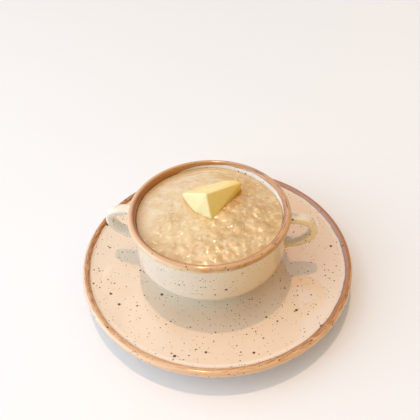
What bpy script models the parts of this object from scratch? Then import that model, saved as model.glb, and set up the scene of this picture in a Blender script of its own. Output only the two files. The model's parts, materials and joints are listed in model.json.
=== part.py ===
"""A two-handled stoneware bowl of oat porridge with a wedge of butter, on its own saucer.

Metres, +Z up. The origin is the centre of the saucer's underside, on the table, and the
bowl's two handles lie along X. The saucer and the bowl are turned shapes. The bowl and its
handles are one solid. The porridge fills the bowl up to its level, with the lumps of the
oats in its surface, and the butter lies sunk a little way into it.
"""

import itertools
import math
import random

import bmesh
import bpy
from mathutils import Vector, noise

MM = 0.001

# Driving dimensions, in millimetres
GAP = 0.3                      # clearance between pieces that touch
SEGMENTS = 64                  # sides of the saucer and the bowl
FOOT_CHAMFER = 0.6             # on both edges of a foot ring

SAUCER_RADIUS = 105.0
SAUCER_EDGE_RADIUS = 2.5       # of the rounded edge's section
SAUCER_EDGE_HEIGHT = 16.4      # of the middle of the rounded edge
SAUCER_WELL_RADIUS = 46.0      # the level middle
SAUCER_WELL_HEIGHT = 5.5
SAUCER_RISE_RADIUS = 97.0      # where the gentle rise meets the rim's fillet
SAUCER_RISE_HEIGHT = 15.3
SAUCER_RISE_POWER = 1.3
SAUCER_RISE_STEPS = 5
SAUCER_FILLET = (98.9, 16.3)   # radius and height of the middle of the rim's fillet
SAUCER_THICKNESS = 4.6
SAUCER_UNDERSIDE = (98.0, 84.0, 70.0)  # radii of the points of its sloping underside
SAUCER_FOOT_OUTER = 65.4
SAUCER_FOOT_INNER = 59.4
SAUCER_RECESS_HEIGHT = 1.3     # underside of the middle

BOWL_AT = (-4.5, 2.0)          # the bowl stands a little off the saucer's centre
BOWL_BASE = SAUCER_WELL_HEIGHT + GAP
BOWL_WALL_OUTER = 58.0
BOWL_WALL_INNER = 54.2
BOWL_CORNER_HEIGHT = 29.2      # below it the outer wall curves in
BOWL_CORNER_RADIUS = 9.0
BOWL_CORNER_TURN = 52.0        # degrees from the upright wall to the sloping underside
BOWL_FLOOR_HEIGHT = 12.0
BOWL_FLOOR_RADIUS = 26.0       # of the curve from the floor to the inner wall
BOWL_FOOT_OUTER = 39.6
BOWL_FOOT_INNER = 36.4
BOWL_FOOT_TOP = 9.2            # where the sloping underside meets the foot
BOWL_RECESS_HEIGHT = 7.8
LIP_CENTRE = (57.2, 59.0)      # radius and height of the rolled lip's middle
LIP_HALF = (2.8, 2.6)          # its half width and half height
LIP_TURN = (180.0, -55.0)      # degrees, from its inner side over the top to its underside

HANDLE_ROOT = 55.9             # radius at which the loop starts, inside the wall
HANDLE_TIP = 77.4              # radius of the loop's middle line at its tip
HANDLE_HEIGHT = 41.8           # height of the middle of the loop
HANDLE_HALF_HEIGHT = 12.6
HANDLE_LEAN = 2.6              # how far the tip is raised above the middle
HANDLE_SQUARENESS = 2.3        # 2 would be an ellipse
HANDLE_HALF_WIDTH = 4.6
HANDLE_HALF_THICKNESS = 2.85
HANDLE_SWELL = 0.24            # share by which the tip is thicker
HANDLE_FLARE = 0.35            # share by which the ends widen towards the wall
HANDLE_FLARE_LENGTH = 9.0
HANDLE_STATIONS = 19
HANDLE_SIDES = 12

PORRIDGE_EDGE = 56.3           # level at the bowl's wall
PORRIDGE_EDGE_SWELLS = (       # direction and half width in degrees, and change of level
    (38.0, 26.0, -1.6), (92.0, 14.0, 0.6), (165.0, 10.0, 0.5), (250.0, 20.0, 0.4),
)
PORRIDGE_DOME = 1.9            # how much higher the middle is
PORRIDGE_DOME_POWER = 2.4      # the higher, the flatter the middle
PORRIDGE_SWELL = (0.35, 9.0)   # height and length of the slow waves in the surface
PORRIDGE_MARGIN = 0.1          # share of the radius in which the skin is drawn to the wall
PORRIDGE_SEGMENTS = 96
PORRIDGE_RINGS = 21
LUMPS = 240
LUMP_SEED = 11
LUMP_FIELD = 51.0              # radius within which lumps lie
LUMP_FADE = (43.0, 49.0)       # radii between which they sink away towards the wall
LUMP_HALF_LENGTH = (2.4, 4.8)
LUMP_HALF_WIDTH = (1.6, 2.8)
LUMP_HEIGHT = (0.3, 1.4)
LUMP_LIMIT = 1.7               # lumps that lie on each other rise no higher than this

BUTTER_BASE = 56.7             # underside, sunk into the porridge
BUTTER_EDGE = 0.7              # rounding of its cut edges
BUTTER_TOP = {                 # corners from the bowl's axis, and heights above the table
    "left": (-21.6, 10.5, 64.0),
    "peak": (-1.6, -0.6, 74.0),
    "right": (22.3, 23.8, 66.6),
    "back_right": (18.0, 30.0, 63.7),
    "back": (8.5, 32.3, 60.6),
    "back_left": (-9.5, 23.0, 60.9),
}
BUTTER_FOOT = (                # outline of the foot, round from the front corner
    (3.1, -10.1), (14.0, 9.6), (19.7, 22.2), (22.6, 27.0), (18.2, 30.4), (8.4, 32.8),
    (-10.4, 23.4), (-20.4, 11.2), (-16.1, 4.1), (-10.0, -2.8),
)

GLAZE = (0.86, 0.72, 0.56)
CLAY_GLAZE = (0.83, 0.76, 0.64)
OATS = (0.80, 0.62, 0.40)
BUTTER = (0.93, 0.80, 0.40)


def clear_scene():
    for thing in list(bpy.data.objects):
        bpy.data.objects.remove(thing, do_unlink=True)


def material(name, colour, roughness, metallic=0.0):
    finish = bpy.data.materials.new(name)
    finish.use_nodes = True
    shader = finish.node_tree.nodes["Principled BSDF"]
    shader.inputs["Base Color"].default_value = (*colour, 1.0)
    shader.inputs["Roughness"].default_value = roughness
    shader.inputs["Metallic"].default_value = metallic
    return finish


def arc(centre, half, start, end, steps):
    """Points along an ellipse's arc, as (radius, height), from start to end in degrees."""
    points = []
    for step in range(steps + 1):
        angle = math.radians(start + (end - start) * step / steps)
        points.append((centre[0] + half[0] * math.cos(angle), centre[1] + half[1] * math.sin(angle)))
    return points


def turned(profile, segments):
    """A closed body turned about Z from an outline that starts and ends on the axis."""
    body = bmesh.new()
    points = [body.verts.new((radius * MM, 0.0, height * MM)) for radius, height in profile]
    edges = [body.edges.new(pair) for pair in zip(points, points[1:])]
    bmesh.ops.spin(
        body, geom=points + edges, cent=(0, 0, 0), axis=(0, 0, 1),
        angle=math.tau, steps=segments, use_merge=True,
    )
    bmesh.ops.remove_doubles(body, verts=body.verts, dist=0.01 * MM)
    bmesh.ops.recalc_face_normals(body, faces=body.faces)
    return body


def foot_ring(outer, inner, base, recess):
    """Outline of a foot ring, from its outer side round under it to the recess within."""
    return [
        (outer, base + FOOT_CHAMFER), (outer - FOOT_CHAMFER, base),
        (inner + FOOT_CHAMFER, base), (inner, base + FOOT_CHAMFER),
        (inner - FOOT_CHAMFER, recess), (0, recess),
    ]


def add_object(name, body, finish, crease=40.0):
    mesh = bpy.data.meshes.new(name)
    body.to_mesh(mesh)
    body.free()
    mesh.materials.append(finish)
    mesh.shade_smooth()
    mesh.set_sharp_from_angle(angle=math.radians(crease))
    thing = bpy.data.objects.new(name, mesh)
    bpy.context.scene.collection.objects.link(thing)
    return thing


def boolean(thing, operation, other):
    """Joins or cuts by one object, and removes it."""
    modifier = thing.modifiers.new(operation.lower(), "BOOLEAN")
    modifier.operation = operation
    modifier.solver = "EXACT"
    modifier.object = other
    bpy.context.view_layer.objects.active = thing
    bpy.ops.object.modifier_apply(modifier=modifier.name)
    bpy.data.objects.remove(other, do_unlink=True)


# Saucer


def saucer_top(radius):
    """Height of the saucer's upper face inside its rim."""
    share = max(0.0, radius - SAUCER_WELL_RADIUS) / (SAUCER_RISE_RADIUS - SAUCER_WELL_RADIUS)
    return SAUCER_WELL_HEIGHT + (SAUCER_RISE_HEIGHT - SAUCER_WELL_HEIGHT) * share ** SAUCER_RISE_POWER


def saucer_profile():
    step = (SAUCER_RISE_RADIUS - SAUCER_WELL_RADIUS) / SAUCER_RISE_STEPS
    radii = [SAUCER_WELL_RADIUS + step * index for index in range(SAUCER_RISE_STEPS + 1)]
    face = [(0, SAUCER_WELL_HEIGHT)] + [(radius, saucer_top(radius)) for radius in radii]
    edge = (SAUCER_RADIUS - SAUCER_EDGE_RADIUS, SAUCER_EDGE_HEIGHT)
    rim = [SAUCER_FILLET] + arc(edge, (SAUCER_EDGE_RADIUS, SAUCER_EDGE_RADIUS), 140, -70, 6)
    radii = SAUCER_UNDERSIDE + (SAUCER_FOOT_OUTER + 1.0,)
    underside = [(radius, saucer_top(radius) - SAUCER_THICKNESS) for radius in radii]
    foot = foot_ring(SAUCER_FOOT_OUTER, SAUCER_FOOT_INNER, 0.0, SAUCER_RECESS_HEIGHT)
    return face + rim + underside + foot


def make_saucer():
    return add_object("saucer", turned(saucer_profile(), SEGMENTS), material("speckled_glaze", GLAZE, 0.2))


# Bowl with its handles


def bowl_inside(gap=0.0, steps=6):
    """The inner wall and the floor, from the lip down to the axis, drawn in by a gap."""
    reach = BOWL_FLOOR_RADIUS - gap
    centre = (BOWL_WALL_INNER - BOWL_FLOOR_RADIUS, BOWL_FLOOR_HEIGHT + BOWL_FLOOR_RADIUS)
    return arc(centre, (reach, reach), 0, -90, steps) + [(0, BOWL_FLOOR_HEIGHT + gap)]


def bowl_profile():
    inside = bowl_inside()[::-1] + [(BOWL_WALL_INNER, LIP_CENTRE[1] - 2.2)]
    lip = arc(LIP_CENTRE, LIP_HALF, *LIP_TURN, 8) + [(BOWL_WALL_OUTER, LIP_CENTRE[1] - 3.8)]
    corner = (BOWL_WALL_OUTER - BOWL_CORNER_RADIUS, BOWL_CORNER_HEIGHT)
    wall = arc(corner, (BOWL_CORNER_RADIUS, BOWL_CORNER_RADIUS), 0, -BOWL_CORNER_TURN, 5)
    wall.append((BOWL_FOOT_OUTER + 0.8, BOWL_FOOT_TOP))
    foot = foot_ring(BOWL_FOOT_OUTER, BOWL_FOOT_INNER, BOWL_BASE, BOWL_RECESS_HEIGHT)
    return inside + lip + wall + foot


def handle_point(share):
    """The loop's middle line, from its upper end (share 0) to its lower end (share 1)."""
    angle = math.pi / 2 - math.pi * share
    power = 2 / HANDLE_SQUARENESS
    out = max(0.0, math.cos(angle)) ** power
    up = math.copysign(abs(math.sin(angle)) ** power, math.sin(angle))
    radius = HANDLE_ROOT + (HANDLE_TIP - HANDLE_ROOT) * out
    height = HANDLE_HEIGHT + HANDLE_HALF_HEIGHT * up + HANDLE_LEAN * out * out
    return Vector((radius, 0.0, height))


def rounded(value):
    """Fills out a circle's sine or cosine towards a rounded square's."""
    return math.copysign(abs(value) ** 0.8, value)


def handle_body(side):
    """A rounded strap swept along the loop; side is 1 for the right handle, -1 for the left."""
    body = bmesh.new()
    rings = []
    step = 0.01
    for station in range(HANDLE_STATIONS):
        share = station / (HANDLE_STATIONS - 1)
        here = handle_point(share)
        ahead, behind = handle_point(min(1.0, share + step)), handle_point(max(0.0, share - step))
        along = (ahead - behind).normalized()
        outward = Vector((0, 1, 0)).cross(along)
        flare = 1 + HANDLE_FLARE * max(0.0, 1 - (here.x - HANDLE_ROOT) / HANDLE_FLARE_LENGTH) ** 2
        swell = 1 + HANDLE_SWELL * ((here.x - HANDLE_ROOT) / (HANDLE_TIP - HANDLE_ROOT)) ** 2
        ring = []
        for index in range(HANDLE_SIDES):
            angle = math.tau * index / HANDLE_SIDES
            across = rounded(math.cos(angle)) * HANDLE_HALF_WIDTH * flare
            thick = rounded(math.sin(angle)) * HANDLE_HALF_THICKNESS * swell
            point = here + Vector((0, across, 0)) + outward * thick
            ring.append(body.verts.new((side * point.x * MM, point.y * MM, point.z * MM)))
        rings.append(ring)
    for first, second in zip(rings, rings[1:]):
        for index in range(HANDLE_SIDES):
            after = (index + 1) % HANDLE_SIDES
            body.faces.new((first[index], first[after], second[after], second[index]))
    body.faces.new(rings[0])
    body.faces.new(rings[-1])
    bmesh.ops.recalc_face_normals(body, faces=body.faces)
    return body


def make_bowl():
    finish = material("pale_speckled_glaze", CLAY_GLAZE, 0.2)
    bowl = add_object("bowl", turned(bowl_profile(), SEGMENTS), finish)
    for side in (-1, 1):
        boolean(bowl, "UNION", add_object("handle", handle_body(side), finish))
    bowl.location = (BOWL_AT[0] * MM, BOWL_AT[1] * MM, 0.0)
    return bowl


# Porridge


def lumps():
    """Oats and clots under the surface: place, half length, half width, height and turn."""
    draw = random.Random(LUMP_SEED)
    found = []
    for _ in range(LUMPS):
        radius = LUMP_FIELD * math.sqrt(draw.random())
        angle = draw.uniform(0, math.tau)
        place = (radius * math.cos(angle), radius * math.sin(angle))
        # the right and the front are lumpier, the left and the back smoother
        rough = min(1.0, max(0.35, 0.65 + (place[0] - place[1]) / 90.0))
        fade = min(1.0, max(0.15, (LUMP_FADE[1] - radius) / (LUMP_FADE[1] - LUMP_FADE[0])))
        height = draw.uniform(*LUMP_HEIGHT) * rough * fade
        half = (draw.uniform(*LUMP_HALF_LENGTH), draw.uniform(*LUMP_HALF_WIDTH))
        found.append((place, half, height, draw.uniform(0, math.pi)))
    return found


def lump_height(x, y, bumps):
    """How far the lumps raise the surface at a place."""
    piled = 0.0
    for place, half, height, turn in bumps:
        dx, dy = x - place[0], y - place[1]
        if abs(dx) + abs(dy) < 3 * half[0]:
            along = (dx * math.cos(turn) + dy * math.sin(turn)) / half[0]
            across = (dy * math.cos(turn) - dx * math.sin(turn)) / half[1]
            piled += height * math.exp(-(along * along + across * across))
    return LUMP_LIMIT * (1 - math.exp(-piled / LUMP_LIMIT))


def edge_level(x, y):
    """Level of the porridge at the wall, in the direction of a place."""
    level = PORRIDGE_EDGE
    for direction, half_width, change in PORRIDGE_EDGE_SWELLS:
        away = (math.degrees(math.atan2(y, x)) - direction + 180) % 360 - 180
        level += change * math.exp(-(away / half_width) ** 2)
    return level


def porridge_height(x, y, bumps):
    """Height of the porridge's surface above the table, at a place from the bowl's axis."""
    share = min(1.0, math.hypot(x, y) / (BOWL_WALL_INNER - GAP))
    edge = PORRIDGE_EDGE + (edge_level(x, y) - PORRIDGE_EDGE) * share ** 3
    height = edge + PORRIDGE_DOME * (1 - share ** PORRIDGE_DOME_POWER) + lump_height(x, y, bumps)
    swell, length = PORRIDGE_SWELL
    height += swell * noise.noise(Vector((x / length, y / length, 3.0)))
    margin = max(0.0, (share - 1 + PORRIDGE_MARGIN) / PORRIDGE_MARGIN)
    return height + 0.7 * (edge - height) * margin ** 2


def make_porridge(cutter):
    edge = BOWL_WALL_INNER - GAP
    rings = [edge * ring / PORRIDGE_RINGS for ring in range(PORRIDGE_RINGS + 1)]
    top = [(radius, PORRIDGE_EDGE) for radius in rings]
    body = turned(top + bowl_inside(GAP, 5), PORRIDGE_SEGMENTS)
    bumps = lumps()
    for point in body.verts:
        if point.co.z > (PORRIDGE_EDGE - 0.01) * MM:
            point.co.z = porridge_height(point.co.x / MM, point.co.y / MM, bumps) * MM
    porridge = add_object("porridge", body, material("oat_porridge", OATS, 0.45), 180.0)
    porridge.location = (BOWL_AT[0] * MM, BOWL_AT[1] * MM, 0.0)
    bpy.context.view_layer.update()
    boolean(porridge, "DIFFERENCE", cutter)
    return porridge


# Butter


def butter_body(grow=0.0):
    """The wedge, a hull of its corners. With an amount to grow by, each corner is a small cube."""
    body = bmesh.new()
    corners = list(BUTTER_TOP.values())
    corners += [(x, y, BUTTER_BASE) for x, y in BUTTER_FOOT]
    steps = (-grow, grow) if grow else (0.0,)
    for x, y, z in corners:
        for dx, dy, dz in itertools.product(steps, repeat=3):
            body.verts.new(((x + dx) * MM, (y + dy) * MM, (z + dz) * MM))
    hull = bmesh.ops.convex_hull(body, input=body.verts)
    inside = [thing for thing in hull["geom_interior"] if isinstance(thing, bmesh.types.BMVert)]
    bmesh.ops.delete(body, geom=inside, context="VERTS")
    bmesh.ops.dissolve_limit(body, angle_limit=math.radians(1.0), verts=body.verts, edges=body.edges)
    bmesh.ops.recalc_face_normals(body, faces=body.faces)
    return body


def make_butter():
    finish = material("butter", BUTTER, 0.4)
    butter = add_object("butter", butter_body(), finish)
    rounding = butter.modifiers.new("rounded edges", "BEVEL")
    rounding.width = BUTTER_EDGE * MM
    rounding.segments = 2
    rounding.limit_method = "ANGLE"
    rounding.angle_limit = math.radians(20)
    butter.location = (BOWL_AT[0] * MM, BOWL_AT[1] * MM, 0.0)
    cutter = add_object("butter_space", butter_body(GAP), finish)
    cutter.location = butter.location
    cutter.hide_render = True
    cutter.display_type = "WIRE"
    return butter, cutter


def main():
    clear_scene()
    make_saucer()
    make_bowl()
    butter, cutter = make_butter()
    make_porridge(cutter)


main()
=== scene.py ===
"""A bowl of oat porridge with a wedge of butter, in speckled stoneware on its own saucer.

Laid out as a Blender add-on and run as a script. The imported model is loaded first, as a
fixed frame in metres, with +Z up and the two handles along X. One operator makes the
saucer, one the bowl, one the porridge, one its loose oats, one the butter and one the
stage. The saucer and the bowl are turned by Geometry Nodes from their outlines, and the
loose oats are strewn by Geometry Nodes over the porridge.
"""

import json
import math
import random

import bmesh
import bpy
import numpy as np
from mathutils import Matrix, Vector, noise

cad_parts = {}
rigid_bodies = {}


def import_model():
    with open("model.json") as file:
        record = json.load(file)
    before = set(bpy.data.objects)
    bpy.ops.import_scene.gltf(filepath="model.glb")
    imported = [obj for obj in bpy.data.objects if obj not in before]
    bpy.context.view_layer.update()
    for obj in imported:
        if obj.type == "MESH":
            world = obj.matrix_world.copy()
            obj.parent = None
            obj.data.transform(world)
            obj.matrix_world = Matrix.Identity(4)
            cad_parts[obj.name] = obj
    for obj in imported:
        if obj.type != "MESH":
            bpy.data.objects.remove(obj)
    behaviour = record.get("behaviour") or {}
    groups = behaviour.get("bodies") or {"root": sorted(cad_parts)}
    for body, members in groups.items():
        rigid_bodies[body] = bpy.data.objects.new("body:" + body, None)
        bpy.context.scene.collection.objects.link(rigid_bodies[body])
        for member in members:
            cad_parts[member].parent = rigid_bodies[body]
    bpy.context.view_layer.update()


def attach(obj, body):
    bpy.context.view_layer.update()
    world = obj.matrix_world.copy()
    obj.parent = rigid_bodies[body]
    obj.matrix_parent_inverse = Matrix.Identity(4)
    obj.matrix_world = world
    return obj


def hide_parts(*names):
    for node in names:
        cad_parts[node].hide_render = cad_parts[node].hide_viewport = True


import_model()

bl_info = {
    "name": "Porridge Bowl Builder",
    "version": (1, 0, 0),
    "blender": (4, 5, 0),
    "location": "View3D > Sidebar > Porridge",
    "description": "Makes a stoneware bowl of oat porridge with butter, on its saucer",
    "category": "Add Mesh",
}

MM = 0.001
WHEEL_RADIUS = 50.0            # of the ring on which the ware is turned

# Saucer, in millimetres
SAUCER_RADIUS = 105.0
SAUCER_EDGE_RADIUS = 2.5       # of the rounded edge's section
SAUCER_EDGE_HEIGHT = 16.4      # of the middle of the rounded edge
SAUCER_WELL_RADIUS = 46.0      # the level middle
SAUCER_WELL_HEIGHT = 5.5
SAUCER_RISE_RADIUS = 97.0      # where the gentle rise meets the rim's fillet
SAUCER_RISE_HEIGHT = 15.3
SAUCER_RISE_POWER = 1.3
SAUCER_FILLET = (98.7, 15.7)   # corners that the rim's fillets round off, above and below
SAUCER_UNDER_RIM = (101.2, 12.6)
SAUCER_THICKNESS = 4.6
SAUCER_UNDERSIDE = (98.0, 94.0, 90.0, 86.0, 82.0, 78.0, 74.0, 70.0, 66.4)
SAUCER_FOOT_OUTER = 65.4
SAUCER_FOOT_INNER = 59.4
SAUCER_RECESS_HEIGHT = 1.3

# Bowl
BOWL_AT = (-4.5, 2.0)          # the bowl stands a little off the saucer's centre
BOWL_BASE = 5.8
BOWL_WALL_OUTER = 58.0
BOWL_WALL_INNER = 54.2
BOWL_CORNER_HEIGHT = 29.2
BOWL_CORNER_RADIUS = 9.0
BOWL_CORNER_TURN = 52.0
BOWL_FLOOR_HEIGHT = 12.0
BOWL_FLOOR_RADIUS = 26.0
BOWL_FOOT_OUTER = 39.6
BOWL_FOOT_INNER = 36.4
BOWL_FOOT_TOP = 9.2
BOWL_RECESS_HEIGHT = 7.8
LIP_CENTRE = (57.2, 59.0)
LIP_HALF = (2.8, 2.6)
LIP_INNER_START = 56.8         # heights where the lip grows out of the inner and the outer wall
LIP_OUTER_START = 55.0
LIP_CORNERS = ((BOWL_WALL_INNER + 0.2, 58.0), (58.0, 56.2))   # rounded off, inside and outside
FOOT_CHAMFER = 0.6

# Handles
HANDLE_ROOT = 55.9             # distances of the loop's middle line from the bowl's axis
HANDLE_TIP = 77.4
HANDLE_HEIGHT = 41.8
HANDLE_HALF_HEIGHT = 12.6
HANDLE_LEAN = 2.6              # how much higher its outer end is
HANDLE_SQUARENESS = 2.3        # 2 is a half circle
HANDLE_HALF_WIDTH = 4.6
HANDLE_HALF_THICKNESS = 2.85
HANDLE_SWELL = 0.24
HANDLE_FLARE = 0.35
HANDLE_FLARE_LENGTH = 9.0
HANDLE_FILLET = 2.2            # radius of the glaze's fillet where a handle meets the wall

# Porridge
GAP = 0.3                      # between the filling and the bowl
MARKS = ("flake", "rim", "hollow", "film", "melt_and_shadow")   # kept at each point for the material
PORRIDGE_EDGE = 56.3
PORRIDGE_EDGE_SWELLS = (       # direction and half width in degrees, and change of level
    (38.0, 26.0, -1.6), (92.0, 14.0, 0.6), (165.0, 10.0, 0.5), (250.0, 20.0, 0.4),
)
PORRIDGE_DOME = 1.9
PORRIDGE_DOME_POWER = 2.4
PORRIDGE_MARGIN = 0.1          # part of the radius where the relief dies out at the wall
PORRIDGE_RINGS = 150
PORRIDGE_SEGMENTS = 460
LUMPS = 240                    # soft clots under the surface
LUMP_SEED = 11
LUMP_FIELD = 51.0
LUMP_FADE = (43.0, 49.0)
LUMP_HALF_LENGTH = (2.4, 4.8)
LUMP_HALF_WIDTH = (1.6, 2.8)
LUMP_HEIGHT = (0.3, 1.4)
LUMP_LIMIT = 1.7               # most that clots on one another pile up to
FLAKE_FIELD = 52.0             # oat flakes that are part of the surface
FLAKE_HALF_LENGTH = (1.8, 3.4)
FLAKE_HALF_WIDTH = (1.1, 1.9)
FLAKE_TILT = 0.07
FLAKE_RISE = (-0.45, 0.1)
FLAKE_THICKNESS = (0.15, 0.45)
FLAKE_BLEND = 0.8              # width over which a flake runs into the paste
FIELD_HALF = 57.0              # half side of the square field on which the surface is worked out
FIELD_PACE = 0.38
FIELD_SOFTNESS = 0.68          # how far the wet paste rounds off what lies in it

# Loose oats: half sizes of the kinds, distance apart, most tilt in radians, and range of scale
OAT_SHAPES = ((2.6, 1.7, 0.42), (3.1, 1.8, 0.38), (2.0, 1.4, 0.45))
OAT_SPACING = 4.0
OAT_TILT = 0.16
OAT_SCALE = (0.75, 1.15)
OAT_SINK = 0.3
OAT_TRIES = 2.2                # places tried for each oat asked for, as many are too near another
OAT_FIELD = 50.0               # none lie farther out, lower down or nearer the butter than these
OAT_LOWEST = 55.0
OAT_CLEARANCE = 2.5

# Iron specks in the glaze: distance apart and radius of the large, middle and small ones
IRON_SPECKS = ((7.6, 1.35), (3.0, 0.68), (1.8, 0.42))

# Butter: corners from the bowl's axis, and heights above the table
BUTTER_GRAIN = 0.45            # size of its faces
BUTTER_BASE = 56.7
BUTTER_TOP = {
    "left": (-21.6, 10.5, 64.0),
    "peak": (-1.6, -0.6, 74.0),
    "right": (22.3, 23.8, 66.6),
    "back_right": (18.0, 30.0, 63.7),
    "back": (8.5, 32.3, 60.6),
    "back_left": (-9.5, 23.0, 60.9),
}
BUTTER_FOOT = (
    (3.1, -10.1), (14.0, 9.6), (19.7, 22.2), (22.6, 27.0), (18.2, 30.4), (8.4, 32.8),
    (-10.4, 23.4), (-20.4, 11.2), (-16.1, 4.1), (-10.0, -2.8),
)
BUTTER_SMEAR_AT = (-3.3, 16.8)     # middle of the long smear on top, and its turn in degrees
BUTTER_SMEAR_TURN = 16.0

# Camera of the photograph, its roll in degrees
CAMERA_AT = (27.66, -225.28, 266.76)
CAMERA_AIM = (-3.705, 0.993, 59.0)
CAMERA_ROLL = -2.322

# Table and light, in metres
TABLE_RADIUS = 4.0
SUN_DIRECTION = (-0.10, 0.243, 1.0)
SUN_SPREAD = 1.3               # degrees
WINDOW_AT = (-0.62, -0.42, 0.34)
WINDOW_SIZE = (0.9, 0.55)

# Soft light of the room: where it comes from, how narrow it is, and its colour
ROOM_LIGHT = (
    ((-1.0, 0.0, 0.25), 2.0, (1.46, 1.62, 1.80)),
    ((-1.0, -0.25, 0.12), 10.0, (0.80, 1.0, 1.2)),
    ((-0.3, -1.0, 0.12), 6.0, (0.42, 0.54, 0.70)),
    ((1.0, 0.0, 0.25), 2.0, (0.62, 0.31, 0.0)),
    ((0.0, 1.0, 0.25), 2.0, (0.15, 0.29, 0.40)),
    ((0.0, 0.0, 1.0), 2.0, (0.69, 0.64, 0.53)),
)


# Settings a user would change


def length(name, description, default):
    return bpy.props.FloatProperty(
        name=name, description=description, default=default, subtype="DISTANCE", unit="LENGTH", precision=5)


def colour(name, description, default):
    return bpy.props.FloatVectorProperty(
        name=name, description=description, default=default, subtype="COLOR", size=3, min=0.0, max=1.0)


class WareSettings(bpy.types.PropertyGroup):
    """The saucer's and the bowl's glaze, with light and shade painted into some of its colours."""

    segments: bpy.props.IntProperty(
        name="Segments", description="Sides of the turned shapes", default=256, min=32, max=512)
    saucer_glaze: colour("Saucer glaze", "Peach cream of the saucer", (0.84, 0.68, 0.54))
    # Painted highlight: pale fillet ring that stands for the left lamp's gloss on the saucer's upturned
    # edge.
    fillet: colour("Fillet", "Pale glaze inside the saucer's brown edge", (0.97, 0.82, 0.72))
    # Painted light: paler peach where the left lamp lights the saucer.
    painted_left_light: colour("Left glaze", "Paler peach of the saucer's left side", (0.95, 0.79, 0.63))
    # Painted shade: deeper peach on the saucer's back right.
    painted_back_right_shade: colour("Right glaze", "Deeper peach of the saucer's back right", (0.80, 0.59, 0.42))
    # Painted reflection: the bowl's pale wall mirrored in the saucer's well.
    pool: colour("Pooled glaze", "Thick pale glaze in the saucer's well", (0.95, 0.89, 0.75))
    bowl_glaze: colour("Bowl glaze", "Pale cream of the bowl's wall", (0.80, 0.71, 0.58))
    brown: colour("Brown", "Bare brown of the saucer's edge", (0.42, 0.145, 0.025))
    dark_brown: colour("Edge line", "Dark line where the glaze ends", (0.27, 0.09, 0.04))
    amber: colour("Amber", "Thin glaze over the brown edge", (0.80, 0.49, 0.27))
    lip_inside: colour("Lip inside", "Amber brown of the lip's inner side", (0.47, 0.175, 0.03))
    lip_top: colour("Lip top", "Brown on top of the lip", (0.68, 0.375, 0.17))
    lip_outside: colour("Lip outside", "Paler brown of the lip's outer side", (0.86, 0.57, 0.31))
    lip_run: colour("Lip run", "Ochre glaze that gathers under the lip", (0.44, 0.20, 0.01))
    ochre_line: colour("Ochre line", "Dark lower end of the ochre glaze", (0.34, 0.16, 0.03))
    straw: colour("Straw", "Straw glaze below the lip", (0.91, 0.76, 0.52))
    # Painted light: greyer cream for the cool light on the bowl's left side.
    painted_cool_light: colour("Cool glaze", "Greyer cream of the bowl's left side", (0.74, 0.67, 0.60))
    # Painted light: paler glaze where the left lamp lights the inner wall at the back right.
    painted_inner_light: colour("Inner glaze", "Pale glaze inside the bowl at the right", (0.99, 0.97, 0.90))
    # Painted shade: deeper, warmer cream for the shaded right side with its warm bounce light.
    painted_warm_shade: colour("Warm glaze", "Deeper cream of the bowl's right side", (0.73, 0.51, 0.18))
    # Painted light: amber for warm bounce light from the saucer on the right handle's front and lower
    # faces.
    painted_handle_bounce: colour("Handle amber", "Amber glaze that gathers on the right handle", (0.92, 0.63, 0.22))
    iron: colour("Specks", "Iron specks in the clay", (0.095, 0.038, 0.016))
    band: length("Brown band", "Width of the saucer's brown edge", 0.0055)


class PorridgeSettings(bpy.types.PropertyGroup):
    """The cooked oats."""

    paste: colour("Paste", "Creamy part of the porridge", (0.785, 0.59, 0.335))
    oat: colour("Oats", "Cooked flakes", (0.81, 0.635, 0.37))
    dark_oat: colour("Dark oats", "Darkest of the loose flakes", (0.80, 0.56, 0.29))
    # Tan for random mottling and for the right side, and painted shade in the hollows and along the wall.
    crease: colour("Creases", "Hollows between the clots", (0.60, 0.37, 0.145))
    film: colour("Film", "Pale skin of the smooth part", (0.82, 0.68, 0.485))
    pale_clot: colour("Pale clots", "Swollen oats that stand up a little", (0.85, 0.68, 0.395))
    # Pale flake edges, also used as painted glints on the curly lines at the front.
    flake_edge_and_glint: colour("Flake edges", "Swollen pale edges of the flakes", (0.97, 0.86, 0.62))
    # Yellow of melted butter round its foot, also painted shadow of the butter on its right.
    melt_and_shadow_tint: colour("Melted butter", "Porridge that the butter has coloured", (0.70, 0.40, 0.08))
    flakes: bpy.props.IntProperty(
        name="Flakes in the surface", description="Oat flakes that show as relief", default=340, min=0)
    loose: bpy.props.IntProperty(
        name="Loose flakes", description="Flakes that lie on the surface", default=60, min=0)
    seed: bpy.props.IntProperty(name="Seed", description="Of the flakes' places", default=5)


class ButterSettings(bpy.types.PropertyGroup):
    """The wedge of butter."""

    face: colour("Butter", "Cut faces", (0.94, 0.78, 0.40))
    # Painted shade: deeper yellow for the shaded face on the right.
    painted_shade_yellow: colour("Deep yellow", "Face on the right", (0.99, 0.80, 0.24))
    # Painted light: paler yellow for the lit face on the left.
    pale: colour("Pale yellow", "Face on the left", (0.95, 0.84, 0.51))
    smear: colour("Smear", "Soft darker smears", (0.90, 0.60, 0.17))
    edge: length("Edge", "Rounding of the cut edges", 0.0008)


class StageSettings(bpy.types.PropertyGroup):
    """The table and the light."""

    table: colour("Table", "Plain pale table", (0.86, 0.885, 0.94))
    sun_tint: colour("Sun colour", "Colour of the hard light", (1.0, 0.65, 0.43))
    window_tint: colour("Window colour", "Colour of the soft light", (0.62, 0.82, 0.93))
    sun: bpy.props.FloatProperty(
        name="Sun", description="Strength of the hard light", default=0.87, min=0.0)
    window: bpy.props.FloatProperty(
        name="Window", description="Power of the soft light", default=1.7, min=0.0, unit="POWER")
    room: bpy.props.FloatProperty(
        name="Room", description="Strength of the light all round", default=1.0, min=0.0)


# Node helpers


def feed(node, inputs):
    """Links or sets a node's inputs by name or number."""
    for name, value in inputs.items():
        value = value.socket if isinstance(value, Value) else value
        if isinstance(value, bpy.types.NodeSocket):
            node.id_data.links.new(value, node.inputs[name])
        else:
            node.inputs[name].default_value = value
    return node


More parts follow.
